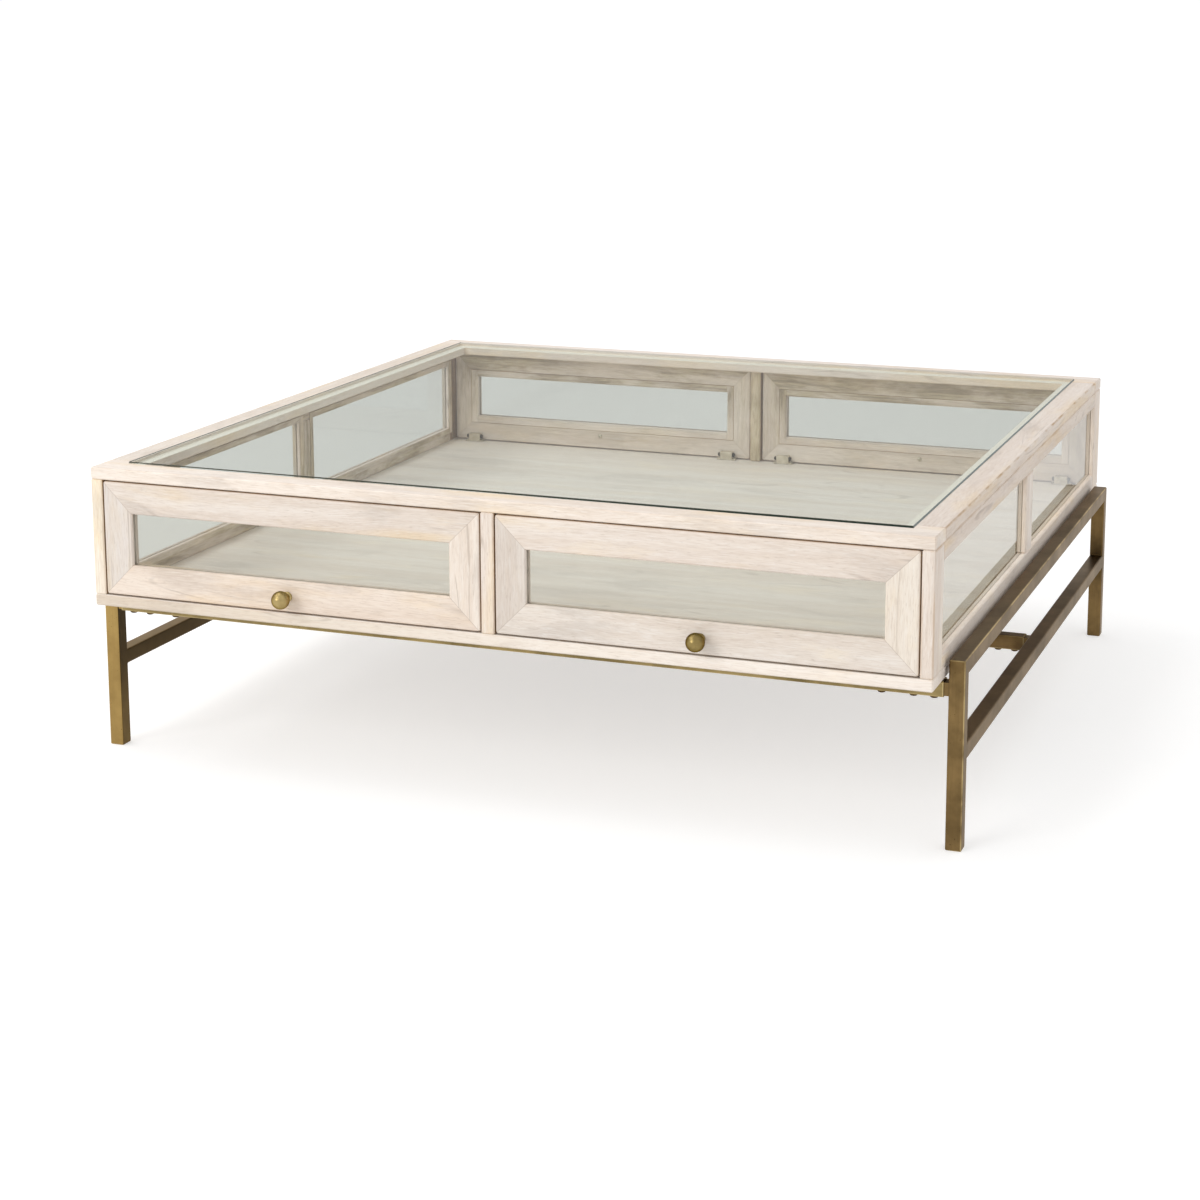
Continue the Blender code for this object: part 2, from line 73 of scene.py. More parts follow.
# Sky, and the floor that the table stands on
SKY_STRENGTH = 0.80
SEEN_SKY = (1.0, 1.0, 1.0)
FLOOR_HALF = 60.0
FLOOR_GLOW = 0.52
FLOOR_SEEN_ALBEDO = 0.62
FLOOR_ALBEDO = 0.80

# Noise fields of the wood: stretch along and across the grain, detail and roughness
GRAIN_FIELDS = {
    "bands": (1.3, 30.0, 3.0, 0.55),
    "streaks": (8.0, 170.0, 3.0, 0.60),
    "fibres": (50.0, 700.0, 2.0, 0.60),
    "pores": (110.0, 1100.0, 1.0, 0.50),
    "patches": (6.0, 18.0, 5.0, 0.62),
    "wear": (9.0, 24.0, 4.0, 0.65),
    "figure": (2.2, 9.0, 1.0, 0.50),
    "breaks": (9.0, 60.0, 2.0, 0.50),
}
SWAY_STRETCH = (1.6, 6.0)
SWAY = 0.05
WARM_STRETCH = (4.5, 24.0)
WARM_SHIFT = (7.3, 2.1, 4.4)
CONTOUR_STRETCH = (1.5, 13.0)
CONTOURS = 17.0

# The wash, and its layers: field, the levels where a layer begins and is full, its share, its colour
WASH = (246, 235, 224)
WASH_LAYERS = (
    ("bands", 0.35, 0.68, 1.00, (235, 220, 206)),
    ("warm", 0.52, 0.72, 0.80, (242, 220, 188)),
    ("patches", 0.52, 0.68, 0.62, (216, 204, 193)),
    ("patches", 0.46, 0.30, 0.60, (250, 234, 212)),
    ("streaks", 0.48, 0.75, 0.16, (205, 185, 166)),
    ("streaks", 0.45, 0.25, 0.20, (252, 246, 240)),
    ("fibres", 0.50, 0.68, 0.24, (196, 176, 158)),
    ("fibres", 0.48, 0.30, 0.30, (255, 250, 245)),
)
FIGURE_SHARE = 0.36
FIGURE_COLOR = (150, 134, 121)
PIT_SHARE = 0.24
PIT_COLOR = (156, 134, 114)
RUBBED_COLOR = (190, 150, 100)
JOINT_SHARE = 0.32
JOINT_COLOR = (140, 116, 96)
# The ledge under the lid, painted paler as painted light
LEDGE_LIGHT_COLOR = (255, 249, 236)

# How far each board's grain lies from that of the board before, and where it begins again
SEED_STEPS = ((1.37, 19.0), (2.71, 23.0), (0.83, 17.0))
STILE_SEED = 3
FAR_MEMBER_SHIFT = 3.7
SIDE_BEAD_SEED = 40
SIDE_BEAD_WARMTH = 0.06

# What sets single boards apart: warmth, how much wash is rubbed off the arrises, and a tone, which paints
# light and shade: darker on the boards at the right and on the left top rail, lighter at the front
WARM_BOARDS = {"front_left_post": 0.10, "back_center_post": 0.15, "floor_panel": -0.10}
RUBBED_SHARE = 0.18
RUBBED_SHARES = {"right_top_rail": 0.85, "front_right_post": 0.45}
BOARD_LIGHT_AND_SHADE_TONES = {
    "right_side_head": (0.91, 0.89, 0.87),
    "right_top_rail": (0.93, 0.92, 0.91),
    "front_top_rail": (1.05, 1.05, 1.04),
    "left_top_rail": (0.93, 0.93, 0.91),
    "front_left_post": (1.10, 1.11, 1.06),
}
RAIL_TOP_TONE = (0.88, 0.88, 0.89)
# Bare wood of the sides that show only in gaps, also darkening those gaps as painted shade
GAP_SHADE_AND_BARE_TONE = (0.54, 0.41, 0.29)

# The floor panel: a calmer grain, its upper face painted lighter as painted light, and its edges from left
# to right, painted shade at the left and painted light at the right
PANEL_CALM = 0.20
PANEL_CALM_COLOR = (243, 231, 217)
PANEL_TOP_LIGHT_TONE = (1.06, 1.115, 1.15)
PANEL_EDGE_LIGHT_TONES = ((0.88, 0.85, 0.79), (1.10, 1.12, 1.14))

# The tone of each member of a front door: top, bottom, left, right
PALE_MEMBERS = ((1.0, 1.0, 1.0),) * 4
DOOR_MEMBERS = {
    "front_left_door_frame": (
        (0.93, 0.93, 0.93), (0.96, 0.92, 0.88), (0.86, 0.87, 0.89), (1.02, 1.02, 1.01),
    ),
    "front_right_door_frame": (
        (0.97, 0.97, 0.97), (0.96, 0.98, 0.99), (0.84, 0.84, 0.84), (0.98, 0.98, 0.95),
    ),
}

# Depths under a face or behind an edge: where a look of its own has gone, and where it is full
RAIL_TOP = (0.0012, 0.0003)
PANEL_TOP = (0.0010, 0.0002)
SIDE_FACE = (0.0009, 0.0002)
BEHIND_FRONT = (0.0010, 0.0025)
INNER_FACE = (0.0148, 0.0156)
RUBBED_ARRIS = (0.0032, 0.0004)
# Worn arrises of the bars, where a painted highlight also runs
WORN_GLINT_ARRIS = (0.0019, 0.0007)
JOINT_LINE = (0.0008, 0.0002)

# How far masks reach past the faces that they follow
LID_CLEARANCE = 0.0003
LEDGE_REACH = 0.0004
LEDGE_PAST_LID = 0.005
EDGE_UNDER_WOOD = 0.0002
PAST_MIDDLE = 0.001

# Glass; a tint is what remains of the light after both faces of a sheet
GLASS_IOR = 1.5
LID_TINT = (0.700, 0.724, 0.706)
PANE_TINT = (0.719, 0.724, 0.691)
LAMP_TINT = (0.98, 0.985, 0.98)
LID_MIRROR = 0.20
PANE_MIRROR = 0.95
HEAD_ON_GLOSS = 0.04
SMUDGE = 0.012
LID_EDGE_MIRROR = 0.70
LID_ARRIS = 0.0008
LID_SUNK_AT_LEFT = 0.0014

# Brass bars: axis, bright and dark patina, and how much painted shade falls on the faces to the right. The
# patina is painted light on the left frame and painted shade on the right frame and on the stretcher under
# the box: lit and shaded copies of one brass
BARS = {
    "left_side_frame": ("Z", (169, 141, 86), (143, 117, 70), 0.92),
    "right_side_frame": ("Z", (132, 108, 70), (94, 76, 48), 0.42),
    "front_crossbar": ("X", (157, 138, 94), (110, 96, 64), 0.70),
    "back_crossbar": ("X", (157, 138, 94), (110, 96, 64), 0.70),
    "center_stretcher": ("X", (120, 97, 63), (80, 63, 40), 0.70),
}
# How much painted shade the upward faces of the bars get
UPPER_FACE_SHADE = 0.62
BAR_ROUGHNESS = 0.30
BAR_RIM_TINT = (0.97, 0.89, 0.80)

# Small brass pieces: bright and dark patina. The knobs and pins on the left are painted light and those on
# the right painted shade: lit and shaded copies of one brass
FITTINGS = {
    "lit_left_fittings": ((201, 182, 129), (158, 137, 91)),
    "right_fittings": ((152, 133, 85), (111, 94, 58)),
    "bolts": ((92, 74, 48), (66, 52, 34)),
}
FITTING_ROUGHNESS = 0.22
FITTING_RIM_TINT = (0.30, 0.24, 0.14)

# How the faint rubbing on brass is stretched, by the axis of the bar; fittings have none
BRASS_STRETCH = {
    "X": (3.0, 60.0, 60.0),
    "Z": (60.0, 60.0, 3.0),
    None: (40.0, 40.0, 40.0),
}

# How far small pieces stay clear of what they sit on
SEAT = 0.0002

# Beads
DOOR_BEAD_WIDTH = 0.012
SIDE_BEAD_WIDTH = 0.0085
SIDE_BEAD_PROUD = 0.0015
SIDE_BEAD_EASE = 0.0006
LIP_BEHIND_PANE = 0.0055
PANE_IN_GROOVE = 0.006

# Heads of screws, bolts and caps: shares of the radius and height of the dome, from the seat up
DOME = ((1.0, 0.0), (1.0, 0.25), (0.93, 0.60), (0.78, 0.88), (0.62, 1.0))
RECESS_TAPER = 0.8
RECESS_FLOOR = 0.35
HEAD_STEPS = 32
HEAD_SMOOTH = 40
CROSS_ARM = 0.28

# Fasteners; a recess is given as a share of the head's radius
BOLT_RADIUS = 0.0055
BOLT_HEIGHT = 0.0035
BOLT_RECESS = 0.36
CROSSBAR_BOLTS = (0.482, 0.521, 0.546)
STRETCHER_BOLTS = (0.522, 0.545)
KNOB_SCREW_RADIUS = 0.0036
KNOB_SCREW_HEIGHT = 0.0016
KNOB_SCREW_RECESS = 0.55
CATCH_SCREW_RADIUS = 0.0021
CATCH_SCREW_HEIGHT = 0.0009
CATCH_SCREW_RECESS = 0.6
CATCH_SCREW_OFFSET = 0.0134
CATCH_EAR_TOP = 0.002
CATCH_CAP_RADIUS = 0.0034
CATCH_CAP_LENGTH = 0.0036
CATCH_CAP_RECESS = 0.4
CATCH_CAP_HEIGHT = 0.0085
CATCH_BODY_HALF = 0.0105

# Welds
WELD_SIZE = 0.0045
WELD_STEPS = 14
WELD_RIPPLE = 0.10
WELD_RIPPLES = 4
WELD_TURN = 15
WELD_SMOOTH = 60
BAR_EASE = 0.002

SIDES = {"left": -1, "right": 1}
ENDS = {"front": -1, "back": 1}


def linear(red, green, blue):
    """A colour in linear light from the 0 to 255 numbers of a picture."""
    def channel(value):
        share = value / 255
        return share / 12.92 if share <= 0.04045 else ((share + 0.055) / 1.055) ** 2.4
    return (channel(red), channel(green), channel(blue))


class Nodes:
    """A shader tree that is built call by call; each call returns the new node's output."""

    def __init__(self, tree):
        self.tree = tree

    def feed(self, socket, value):
        """Links an output to a socket, or sets the socket to a plain value."""
        if isinstance(value, bpy.types.NodeSocket):
            self.tree.links.new(value, socket)
        elif isinstance(value, (tuple, list)) and len(socket.default_value) == 4:
            socket.default_value = (*value[:3], 1.0)
        else:
            socket.default_value = value

    def add(self, kind, named=None, output=0, **settings):
        """A node with its settings; `named` maps socket names or numbers to values or outputs."""
        node = self.tree.nodes.new(kind)
        for name, value in settings.items():
            setattr(node, name, value)
        for name, value in (named or {}).items():
            self.feed(node.inputs[name], value)
        return node.outputs[output]

    def place(self):
        """The point's coordinates on its own object, which at rest are those of the whole table."""
        return self.add("ShaderNodeTexCoord", output="Object")

    def math(self, operation, first, second=0.0, third=0.0):
        """One sum, product or other operation on numbers."""
        return self.add("ShaderNodeMath", {0: first, 1: second, 2: third}, operation=operation)

    def vector(self, operation, first, second=(0, 0, 0)):
        """The same on vectors."""
        return self.add("ShaderNodeVectorMath", {0: first, 1: second}, operation=operation)

    def combine(self, x, y, z):
        """A vector from its three parts."""
        return self.add("ShaderNodeCombineXYZ", {"X": x, "Y": y, "Z": z})

    def split(self, vector):
        """The three parts of a vector."""
        node = self.tree.nodes.new("ShaderNodeSeparateXYZ")
        self.feed(node.inputs[0], vector)
        return node.outputs

    def noise(self, vector, scale=1.0, detail=2.0, roughness=0.5, distortion=0.0):
        """Soft noise from nought to one."""
        named = {"Vector": vector, "Scale": scale, "Detail": detail, "Roughness": roughness,
                 "Distortion": distortion}
        return self.add("ShaderNodeTexNoise", named)

    def ramp(self, value, low, high, to_low=0.0, to_high=1.0):
        """A smooth step from one level to another."""
        named = {"Value": value, "From Min": low, "From Max": high, "To Min": to_low, "To Max": to_high}
        return self.add("ShaderNodeMapRange", named, interpolation_type="SMOOTHSTEP")

    def mix(self, factor, first, second, blend="MIX"):
        """Two colours mixed."""
        named = {0: factor, 6: first, 7: second}
        return self.add("ShaderNodeMix", named, output=2, data_type="RGBA", blend_type=blend)

    def blend(self, factor, first, second):
        """Two numbers mixed."""
        return self.add("ShaderNodeMix", {0: factor, 2: first, 3: second}, data_type="FLOAT")

    def mix_shaders(self, factor, first, second):
        """Two shaders mixed."""
        return self.add("ShaderNodeMixShader", {0: factor, 1: first, 2: second})


def new_material(name):
    """An empty material and the builder for its nodes."""
    material = bpy.data.materials.new(name)
    material.use_nodes = True
    material.node_tree.nodes.clear()
    return material, Nodes(material.node_tree)


def finish_material(nodes, surface):
    """Joins a shader to the output of its material."""
    output = nodes.tree.nodes.new("ShaderNodeOutputMaterial")
    nodes.feed(output.inputs["Surface"], surface)


def assign(item, material):
    """The material in every slot of an object."""
    if not item.material_slots:
        item.data.materials.append(material)
    for slot in item.material_slots:
        slot.material = material


def group_with(name, inputs, outputs):
    """A node group with its sockets, its builder and the node that holds its inputs."""
    tree = bpy.data.node_groups.new(name, "ShaderNodeTree")
    for socket, kind in inputs.items():
        tree.interface.new_socket(socket, in_out="INPUT", socket_type=kind)
    for socket, kind in outputs.items():
        tree.interface.new_socket(socket, in_out="OUTPUT", socket_type=kind)
    source = tree.nodes.new("NodeGroupInput")
    return tree, Nodes(tree), source


def scaled(nodes, vector, along, across):
    """Grain coordinates stretched along the grain."""
    return nodes.vector("MULTIPLY", vector, (along, across, across))


def grain_fields(nodes, grain, warmth):
    """The noise fields that the wood is made from, by name."""
    fields = {}
    for name, (along, across, detail, roughness) in GRAIN_FIELDS.items():
        stretched = scaled(nodes, grain, along, across)
        fields[name] = nodes.noise(stretched, detail=detail, roughness=roughness)
    shifted = nodes.vector("ADD", scaled(nodes, grain, *WARM_STRETCH), WARM_SHIFT)
    fields["warm"] = nodes.math("ADD", nodes.noise(shifted, detail=3.0), warmth)
    return fields


def figure_lines(nodes, grain, fields):
    """A few thin contour lines, in some places only and broken up."""
    contour = nodes.noise(scaled(nodes, grain, *CONTOUR_STRETCH), detail=1.0, distortion=0.15)
    saw = nodes.math("FRACT", nodes.math("MULTIPLY", contour, CONTOURS))
    crest = nodes.math("ABSOLUTE", nodes.math("SUBTRACT", saw, 0.5))
    in_places = nodes.ramp(fields["figure"], 0.50, 0.62)
    lines = nodes.math("MULTIPLY", nodes.ramp(crest, 0.41, 0.49), in_places)
    return nodes.math("MULTIPLY", lines, nodes.ramp(fields["breaks"], 0.42, 0.60))


def bare_wood(nodes, fields):
    """The tan wood under the wash."""
    tan = nodes.mix(nodes.ramp(fields["streaks"], 0.35, 0.65), linear(196, 182, 148), linear(142, 126, 96))
    return nodes.mix(nodes.ramp(fields["fibres"], 0.45, 0.70, 0.0, 0.45), tan, linear(112, 96, 72))


def wood_group():
    """Whitewashed mango wood: the wash in its layers, figure lines, pores, and bare wood where asked."""
    tree, nodes, source = group_with(
        "whitewashed wood",
        {"Grain": "NodeSocketVector", "Warmth": "NodeSocketFloat", "Bare": "NodeSocketFloat"},
        {"Color": "NodeSocketColor", "Roughness": "NodeSocketFloat", "Height": "NodeSocketFloat"},
    )
    grain = source.outputs["Grain"]
    wander = nodes.noise(scaled(nodes, grain, *SWAY_STRETCH), detail=2.0)
    sway = nodes.math("MULTIPLY", nodes.math("SUBTRACT", wander, 0.5), SWAY)
    grain = nodes.vector("ADD", grain, nodes.combine(0.0, sway, sway))
    fields = grain_fields(nodes, grain, source.outputs["Warmth"])

    color = linear(*WASH)
    for field, low, high, share, tint in WASH_LAYERS:
        color = nodes.mix(nodes.ramp(fields[field], low, high, 0.0, share), color, linear(*tint))
    lines = figure_lines(nodes, grain, fields)
    color = nodes.mix(nodes.math("MULTIPLY", lines, FIGURE_SHARE), color, linear(*FIGURE_COLOR))
    pits = nodes.ramp(fields["pores"], 0.64, 0.76)
    color = nodes.mix(nodes.math("MULTIPLY", pits, PIT_SHARE), color, linear(*PIT_COLOR))
    worn = nodes.ramp(fields["wear"], 0.34, 0.66, 0.25, 0.90)
    bare = nodes.math("MULTIPLY", source.outputs["Bare"], worn)
    color = nodes.mix(bare, color, bare_wood(nodes, fields))

    streaks = fields["streaks"]
    roughness = nodes.math("ADD", 0.50, nodes.math("MULTIPLY", streaks, 0.22))
    raised = nodes.math("MULTIPLY", fields["fibres"], 0.4)
    height = nodes.math("ADD", nodes.math("MULTIPLY", streaks, 0.4), raised)
    height = nodes.math("SUBTRACT", height, nodes.math("MULTIPLY", pits, 0.6))
    sink = tree.nodes.new("NodeGroupOutput")
    nodes.feed(sink.inputs["Color"], color)
    nodes.feed(sink.inputs["Roughness"], roughness)
    nodes.feed(sink.inputs["Height"], height)
    return tree


def grain_vector(nodes, place, axis, seed):
    """Coordinates with the grain's direction first, shifted to each board's own stretch of grain."""
    x, y, z = nodes.split(place)
    order = {"X": (x, y, z), "Y": (y, x, z), "Z": (z, x, y)}[axis]
    shift = tuple(seed * step % span for step, span in SEED_STEPS)
    return nodes.vector("ADD", nodes.combine(*order), shift)


def grain_sample(nodes, group, vector, warmth, bare):
    """A wood group node's colour, roughness and height."""
    node = nodes.tree.nodes.new("ShaderNodeGroup")
    node.node_tree = group
    nodes.feed(node.inputs["Grain"], vector)
    nodes.feed(node.inputs["Warmth"], warmth)
    nodes.feed(node.inputs["Bare"], bare)
    return node.outputs["Color"], node.outputs["Roughness"], node.outputs["Height"]


def depths(nodes, place, low, high):
    """How far a point lies inside each pair of faces of a box."""
    found = []
    for value, a, b in zip(nodes.split(place), low, high):
        from_middle = nodes.math("ABSOLUTE", nodes.math("SUBTRACT", value, (a + b) / 2))
        found.append(nodes.math("SUBTRACT", (b - a) / 2, from_middle))
    return found


def distance_to_arris(nodes, inside):
    """How far a point of a box lies from the nearest edge of the box, from its depths."""
    x, y, z = inside
    return nodes.math("MAXIMUM", nodes.math("MINIMUM", x, y),
                      nodes.math("MINIMUM", nodes.math("MAXIMUM", x, y), z))


def from_center(nodes, place):
    """How far a point lies from the middle of the table, along X or along Y, whichever is more."""
    x, y, z = nodes.split(place)
    return nodes.math("MAXIMUM", nodes.math("ABSOLUTE", x), nodes.math("ABSOLUTE", y))


def inner_faces(nodes, place):
    """One on faces turned to the inside of the box, which got little of the wash, else nought."""
    box_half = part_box("floor_panel")[1][0]
    return nodes.ramp(nodes.math("SUBTRACT", box_half, from_center(nodes, place)), *INNER_FACE)


def rubbed_edges(nodes, place, box, color, share):
    """The wash rubbed down to tan wood along the arrises, in broken stretches."""
    near = nodes.ramp(distance_to_arris(nodes, depths(nodes, place, *box)), *RUBBED_ARRIS)
    broken = nodes.ramp(nodes.noise(place, 22.0, detail=3.0), 0.42, 0.66)
    rubbed = nodes.math("MULTIPLY", near, broken)
    return nodes.mix(nodes.math("MULTIPLY", rubbed, share), color, linear(*RUBBED_COLOR))


def darker_rail_tops(nodes, place, box, color):
    """The upper faces of the top rails, a little darker."""
    under_top = nodes.math("SUBTRACT", box[1][2], nodes.split(place)[2])
    return nodes.mix(nodes.ramp(under_top, *RAIL_TOP), color, RAIL_TOP_TONE, "MULTIPLY")


def painted_light_ledge(nodes, place, color):
    """The ledge that the lid lies on, painted paler than the rail round it as painted light seen through
    the lid.
    """
    lid_low, lid_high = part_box("top_glass")
    ledge_height = lid_low[2] - LID_CLEARANCE
    under_lid = nodes.math("LESS_THAN", from_center(nodes, place), lid_high[0] + LEDGE_PAST_LID)
    at_ledge = nodes.math("COMPARE", nodes.split(place)[2], ledge_height, LEDGE_REACH)
    return nodes.mix(nodes.math("MULTIPLY", at_ledge, under_lid), color, linear(*LEDGE_LIGHT_COLOR))


def panel_grain_and_light(nodes, place, box, color):
    """A calmer grain, pale on the upper face as painted light, and browner at the left end of the front
    edge as painted shade, paler at its right end as painted light.
    """
    x, y, z = nodes.split(place)
    on_top = nodes.ramp(nodes.math("SUBTRACT", box[1][2], z), *PANEL_TOP)
    edge = nodes.mix(nodes.ramp(x, box[0][0], box[1][0]), *PANEL_EDGE_LIGHT_TONES)
    tone = nodes.mix(on_top, edge, PANEL_TOP_LIGHT_TONE)
    color = nodes.mix(PANEL_CALM, color, linear(*PANEL_CALM_COLOR))
    return nodes.mix(1.0, color, tone, "MULTIPLY")


def shaded_bare_reveals(nodes, place, box, color):
    """The sides of a post that face a door: they got no wash, and show only in the gap beside it; their
    darker tone is also painted shade in that gap.

    They are on the half of a corner post nearer to the middle of the table; a centre post has two.
    """
    inside = depths(nodes, place, *box)
    middle = (abs(box[0][0]) + abs(box[1][0])) / 2
    distance = nodes.math("ABSOLUTE", nodes.split(place)[0])
    faces_door = nodes.math("LESS_THAN", distance, middle + PAST_MIDDLE)
    on_side = nodes.math("MULTIPLY", nodes.ramp(inside[0], *SIDE_FACE),
                         nodes.ramp(inside[1], *BEHIND_FRONT))
    return nodes.mix(nodes.math("MULTIPLY", on_side, faces_door), color, GAP_SHADE_AND_BARE_TONE, "MULTIPLY")


def shaded_bare_sides(nodes, inside, color, bead):
    """The outer sides of a door or bead: they got no wash, and show only in the gap round it; their darker
    tone is also painted shade in that gap.
    """
    to_side = nodes.math("MINIMUM", inside[0], inside[2])
    on_side = nodes.ramp(to_side, *SIDE_FACE)
    if not bead:
        on_side = nodes.math("MULTIPLY", on_side, nodes.ramp(inside[1], *BEHIND_FRONT))
    return nodes.mix(on_side, color, GAP_SHADE_AND_BARE_TONE, "MULTIPLY")


def wood_shader(nodes, color, roughness, height):
    """Satin wood with the grain raised."""
    normal = nodes.add("ShaderNodeBump", {"Strength": 0.35, "Distance": 0.0006, "Height": height})
    return nodes.add("ShaderNodeBsdfPrincipled",
                     {"Base Color": color, "Roughness": roughness, "Normal": normal,
                      "Specular IOR Level": 0.35})


def board_material(node, group, box, seed):
    """Wood for a straight board, with the tone and the wear of its place on the table."""
    material, nodes = new_material(f"wood_{node}")
    place = nodes.place()
    washed_all_over = node == "floor_panel" or node.endswith("_top_rail")
    bare = 0.0 if washed_all_over else inner_faces(nodes, place)
    grain = grain_vector(nodes, place, board_axis(node), seed)
    color, roughness, height = grain_sample(nodes, group, grain, WARM_BOARDS.get(node, 0.0), bare)
    color = rubbed_edges(nodes, place, box, color, RUBBED_SHARES.get(node, RUBBED_SHARE))
    # A tone per board that paints light and shade
    if node in BOARD_LIGHT_AND_SHADE_TONES:
        color = nodes.mix(1.0, color, BOARD_LIGHT_AND_SHADE_TONES[node], "MULTIPLY")
    if node.endswith("_top_rail"):
        color = darker_rail_tops(nodes, place, box, color)
        color = painted_light_ledge(nodes, place, color)
    if node.endswith("_post"):
        color = shaded_bare_reveals(nodes, place, box, color)
    if node == "floor_panel":
        color = panel_grain_and_light(nodes, place, box, color)
    finish_material(nodes, wood_shader(nodes, color, roughness, height))
    return material


def framed_material(node, group, box, seed, bead=None, members=PALE_MEMBERS):
    """Wood for a frame: grain along each member, and a dark hairline at each joint.

    The members meet in mitres, or where `bead` gives their width, the uprights run through.
    """
    material, nodes = new_material(f"wood_{node}")
    place = nodes.place()
    x, y, z = nodes.split(place)
    inside = depths(nodes, place, *box)
    limit = bead or inside[2]
    upright = nodes.math("LESS_THAN", inside[0], limit)
    joint = nodes.math("ABSOLUTE", nodes.math("SUBTRACT", inside[0], limit))
    hairline = nodes.ramp(joint, *JOINT_LINE, 0.0, JOINT_SHARE)
    middle = [(a + b) / 2 for a, b in zip(*box)]
    is_top = nodes.math("GREATER_THAN", z, middle[2])
    is_right = nodes.math("GREATER_THAN", x, middle[0])
    washed_low = nodes.ramp(z, box[0][2], box[1][2], 0.30, 1.0)
    bare = nodes.math("MULTIPLY", inner_faces(nodes, place), washed_low)
    sampled = []
    for axis, far_side, own_seed in (("X", is_top, seed), ("Z", is_right, seed + STILE_SEED)):
        shift = nodes.math("MULTIPLY", far_side, FAR_MEMBER_SHIFT)
        grain = nodes.vector("ADD", grain_vector(nodes, place, axis, own_seed),
                             nodes.combine(shift, shift, 0.0))
        sampled.append(grain_sample(nodes, group, grain, 0.0, bare))
    rail, stile = sampled
    top, bottom, left, right = members
    tone = nodes.mix(upright, nodes.mix(is_top, bottom, top), nodes.mix(is_right, left, right))
    color = nodes.mix(upright, rail[0], stile[0])
    color = nodes.mix(1.0, color, tone, "MULTIPLY")
    color = shaded_bare_sides(nodes, inside, color, bead)
    color = nodes.mix(hairline, color, linear(*JOINT_COLOR))
    roughness = nodes.blend(upright, rail[1], stile[1])
    height = nodes.math("SUBTRACT", nodes.blend(upright, rail[2], stile[2]), hairline)
    finish_material(nodes, wood_shader(nodes, color, roughness, height))
    return material


def board_axis(node):
    """The direction of the grain in a straight board."""
    if node in ("front_top_rail", "back_top_rail", "floor_panel"):
        return "X"
    if node.endswith(("_top_rail", "_sill", "_head")):
        return "Y"
    return "Z"


def dress_wood(frame):
    """Each wooden node gets the grain of its own board; returns the group that draws the grain."""
    group = wood_group()
    slots = {part["node"]: part["material_slot"] for part in frame["record"]["subparts"]}
    wooden = [node for node in sorted(frame["nodes"]) if slots[node] == "pale_wood"]
    for seed, node in enumerate(wooden):
        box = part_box(node)
        if node.endswith("_door_frame"):
            members = DOOR_MEMBERS.get(node, PALE_MEMBERS)
            material = framed_material(node, group, box, seed, members=members)
        elif node.endswith("_door_bead"):
            material = framed_material(node, group, box, seed, DOOR_BEAD_WIDTH)
        else:
            material = board_material(node, group, box, seed)
        assign(frame["nodes"][node], material)
    return group


def polished_sides(nodes, flatness, full_gloss, gloss):
    """The edge of a thick sheet, dark green head-on and greyer at a slant."""
    color = nodes.mix(nodes.ramp(flatness, 0.05, 0.18), linear(18, 40, 34), linear(56, 60, 50))
    color = nodes.mix(nodes.ramp(flatness, 0.60, 0.72), color, linear(112, 126, 128))
    body = nodes.add("ShaderNodeBsdfDiffuse", {"Color": color})
    return nodes.mix_shaders(nodes.math("MULTIPLY", full_gloss, LID_EDGE_MIRROR), body, gloss)


def proud_sides(nodes, place, box):
    """One on the front and the two sides of a sheet, where they stand above the wood round it.

    The sheet looks sunk a little deeper towards its left.
    """
    x, y, z = nodes.split(place)
    from_front = nodes.math("SUBTRACT", y, box[0][1])
    from_side = depths(nodes, place, *box)[0]
    on_side = nodes.math("LESS_THAN", nodes.math("MINIMUM", from_side, from_front), LID_ARRIS)
    wood_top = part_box("front_top_rail")[1][2] - EDGE_UNDER_WOOD
    sunk = nodes.ramp(x, box[0][0], box[1][0], LID_SUNK_AT_LEFT, 0.0)
    proud = nodes.math("GREATER_THAN", nodes.math("SUBTRACT", z, wood_top), sunk)
    return nodes.math("MULTIPLY", on_side, proud)


def glass_material(name, tint, mirror, edge=None, bends=False):
    """Clear glass whose gloss grows as the view gets flatter.

    `mirror` is the share of the full gloss, and `edge` the box of a sheet whose polished sides look
    dark. Glass that `bends` refracts; the rest is straight-through.
    """
    material, nodes = new_material(name)
    place = nodes.place()
    haze = nodes.noise(place, 9.0, detail=3.0, roughness=0.6)
    smudge = nodes.ramp(haze, 0.45, 0.8, 0.0, SMUDGE)
    face_tint = [math.sqrt(share) for share in tint]
    if bends:
        through = nodes.add("ShaderNodeBsdfRefraction",
                            {"Color": face_tint, "Roughness": smudge, "IOR": GLASS_IOR})
    else:
        through = nodes.add("ShaderNodeBsdfTransparent", {"Color": face_tint})
    gloss = nodes.add("ShaderNodeBsdfAnisotropic", {"Roughness": smudge})
    flatness = nodes.add("ShaderNodeLayerWeight", {"Blend": 0.5}, output="Facing")
    full_gloss = nodes.math("MULTIPLY_ADD", nodes.math("POWER", flatness, 5.0), 1 - HEAD_ON_GLOSS,
                            HEAD_ON_GLOSS)
    glass = nodes.mix_shaders(nodes.math("MULTIPLY", full_gloss, mirror), through, gloss)
    if edge:
        sides = polished_sides(nodes, flatness, full_gloss, gloss)
        glass = nodes.mix_shaders(proud_sides(nodes, place, edge), glass, sides)
    clear = nodes.add("ShaderNodeBsdfTransparent", {"Color": LAMP_TINT})
    path = nodes.tree.nodes.new("ShaderNodeLightPath")
    lit = nodes.math("MAXIMUM", path.outputs["Is Shadow Ray"], path.outputs["Is Diffuse Ray"])
    finish_material(nodes, nodes.mix_shaders(lit, glass, clear))
    return material


